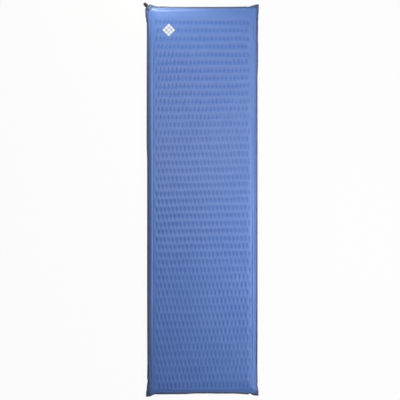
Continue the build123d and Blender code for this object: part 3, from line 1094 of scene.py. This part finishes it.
def cloth_material(name, light, dark, weld, roughness, sheen, print_color=None):
    """A coated weave with a fused edge, and with the print where it has a colour for it."""
    graph = Graph(name)
    threads = weave(graph)
    clouds = graph.noise(7.0, 2.0)
    color = cloth_color(graph, light, dark, threads, clouds)
    if print_color:
        color = graph.mix(printed(graph), color, tint(print_color))
    rough = clouds * 0.12 + (roughness - 0.06)
    height = threads * 0.25 + graph.noise(55.0, 4.0).band(0.3, 0.7)
    fused = graph.written("weld_reach").band(*WELD_START)
    weld_shade, patches, knurled = fused_weld(graph, weld)
    color = graph.mix(fused, color, weld_shade)
    rough = rough + fused * (patches * 0.15 + WELD_ROUGHNESS - rough)
    normal = graph.bump(height + fused * (knurled * 0.67 - height), 0.0003)
    constants = {"Sheen Weight": sheen, "Sheen Roughness": 0.4, "Specular IOR Level": 0.5}
    return graph.finish(color, rough, normal, constants)


# %% The two cloths
TOP_LIGHT = (0.139, 0.262, 0.670)
TOP_DARK = (0.120, 0.235, 0.630)
TOP_WELD = (0.098, 0.140, 0.285)
PRINT_COLOR = (0.80, 0.82, 0.84)
SLATE_LIGHT = (0.045, 0.052, 0.070)
SLATE_DARK = (0.035, 0.041, 0.058)
SLATE_WELD = (0.030, 0.036, 0.052)
top_cloth = cloth_material("blue_weave", TOP_LIGHT, TOP_DARK, TOP_WELD, 0.36, 0.10, PRINT_COLOR)
bottom_cloth = cloth_material("slate_weave", SLATE_LIGHT, SLATE_DARK, SLATE_WELD, 0.6, 0.05)
top.data.materials.append(top_cloth)
bottom.data.materials.append(bottom_cloth)

# %% [markdown]
# ## Plastics, rubber and foam
#
# The valve is moulded: its plastics have a fine grain and slight flow marks, its rubber is dull and
# close. The foam inside is a cream sponge of small open cells.


# %% Moulded finishes
def moulded_material(name, color, roughness, grain=2500.0, depth=0.00004):
    """A moulded plastic or rubber with a fine grain and a little unevenness in its gloss."""
    graph = Graph(name)
    fine = graph.noise(grain, 2.0)
    marks = graph.noise(120.0, 3.0).band(0.35, 0.65)
    shade = graph.mix(marks, tint(color), tint(color, 1.25))
    rough = fine * 0.1 + marks * 0.08 + (roughness - 0.09)
    return graph.finish(shade, rough, graph.bump(fine, depth))


def foam_material():
    """Open-cell foam: a cream ground with painted shade in its small pores."""
    graph = Graph("cream_foam")
    pores = graph.value("TexVoronoi", {}, {"Vector": graph.place, "Scale": 900.0})
    open_pores = pores.band(0.15, 0.5)
    # Painted shade: the pores are darkened to a deep brown.
    shade = graph.mix(open_pores, (0.42, 0.36, 0.22, 1), (0.80, 0.73, 0.52, 1))
    rough = open_pores * 0.1 + 0.8
    return graph.finish(shade, rough, graph.bump(open_pores, 0.0004))


# %% Finishes of the CAD pieces
finishes = {
    "valve_fitment": moulded_material("fitment_moulding", (0.006, 0.009, 0.014), 0.50),
    "valve_stem": moulded_material("stem_moulding", (0.012, 0.014, 0.020), 0.4),
    "retaining_ring": moulded_material("ring_moulding", (0.020, 0.020, 0.022), 0.45),
    "valve_cap": moulded_material("cap_moulding", (0.028, 0.030, 0.023), 0.42),
    "cap_grip": moulded_material("grip_rubber", (0.006, 0.008, 0.011), 0.62, 1500.0, 0.0001),
}
slab.data.materials.append(foam_material())
seal = moulded_material("seal_rubber", (0.010, 0.010, 0.010), 0.5, 4000.0, 0.00002)
for name in ("stem_o_ring", "plug_o_ring", "cap_o_ring"):
    finishes[name] = seal
for name, material in finishes.items():
    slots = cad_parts[name].data.materials
    slots.clear()
    slots.append(material)
print("finished", sorted(finishes))

# %% [markdown]
# ## Floor, camera and light
#
# The floor is white to the camera, and to glossy rays, but still takes the mat's shadow. Light Path
# tells the rays apart.

# %% Floor
FLOOR_HALF = 12.0
FLOOR_GAP = 0.0005
around = ((-1, -1), (1, -1), (1, 1), (-1, 1))
floor_corners = [(x * FLOOR_HALF, y * FLOOR_HALF, -FLOOR_GAP) for x, y in around]
floor_mesh = bpy.data.meshes.new("floor")
floor_mesh.from_pydata(floor_corners, [], [(0, 1, 2, 3)])
floor = bpy.data.objects.new("floor", floor_mesh)
bpy.context.scene.collection.objects.link(floor)

# %% Finish of the floor
FLOOR_GLOW = 0.95
floor_graph = Graph("white_floor")
rays = ("Is Camera Ray", "Is Glossy Ray", "Is Transmission Ray")
seen = [floor_graph.value("LightPath", output=ray) for ray in rays]
seen_share = (seen[0] + seen[1] + seen[2]).band(0, 1) * FLOOR_GLOW
painted = floor_graph.node("BsdfDiffuse", {}, {"Color": (0.7, 0.7, 0.7, 1)})
glowing = floor_graph.node("Emission", {}, {"Color": (1, 1, 1, 1), "Strength": 1.0})
lit_floor = floor_graph.mix_shaders(seen_share, painted, glowing)
floor_mesh.materials.append(floor_graph.end(lit_floor))

# %% Camera, straight above
CAMERA_HEIGHT = 5.269
CAMERA_PLACE = (-0.0106, 0.0011)
camera_data = bpy.data.cameras.new("camera")
camera_data.lens = 100
camera_data.sensor_width = 36
camera = bpy.data.objects.new("camera", camera_data)
camera.location = (*CAMERA_PLACE, CAMERA_HEIGHT)
bpy.context.scene.collection.objects.link(camera)
bpy.context.scene.camera = camera

# %% [markdown]
# Light from the side would paint each dent half dark and half bright, so most of it comes from above
# and a little from the right, and the dents read as soft dark ovals in rows. A small lamp close to the
# head at the valve's side makes that end's roll shine and fade to the other side, as it would beside
# a window. A weak plain world fills the rest, and only the camera sees it as a pale wall. Powers are
# low, for a colour to render about as it is written.


# %% Lights
def area_light(name, place, target, size, power, size_y=None, color=(1, 1, 1)):
    """A square or oblong area light at a place, turned towards a target."""
    data = bpy.data.lights.new(name, "AREA")
    data.size = size
    data.color = color
    if size_y:
        data.shape = "RECTANGLE"
        data.size_y = size_y
    data.energy = power
    lamp = bpy.data.objects.new(name, data)
    lamp.location = place
    aim = Vector(target) - Vector(place)
    lamp.rotation_euler = aim.to_track_quat("-Z", "Y").to_euler()
    lamp.visible_camera = False
    bpy.context.scene.collection.objects.link(lamp)
    print(name, power, "W at", place)


WARM = (1.0, 0.95, 0.80)
CREAM = (1.0, 0.98, 0.90)
area_light("overhead_light", (0, 0.4, 1.8), (0, 0.3, 0), 0.9, 8.0, color=CREAM)
area_light("right_overhead_light", (1.2, 0.2, 3.5), (0, 0.1, 0), 1.4, 10)
area_light("right_strip", (1.2, 0.1, 1.3), (0, 0, 0), 2.4, 9.5, 0.5)
area_light("foot_strip", (1.1, -0.4, 1.4), (0, -0.4, 0), 1.3, 12.5, 0.5)
area_light("head_light", (-0.4, 1.6, 0.8), (-0.08, 0.6, 0), 0.6, 5, color=WARM)
area_light("head_lamp", (-0.23, 1.16, 0.24), (-0.2, 0.9, 0), 0.15, 1.2, color=WARM)

# %% World
world_graph = Graph("plain", bpy.data.worlds.new("plain"))
camera_ray = world_graph.value("LightPath", output="Is Camera Ray")
dim_sky = world_graph.node("Background", {}, {"Color": (0.9, 0.95, 1, 1), "Strength": 0.05})
pale_wall = world_graph.node("Background", {}, {"Color": (1, 1, 1, 1), "Strength": 0.95})
whole_sky = world_graph.mix_shaders(camera_ray, dim_sky, pale_wall)
bpy.context.scene.world = world_graph.end(whole_sky, "OutputWorld")
bpy.context.scene.view_settings.view_transform = "Standard"
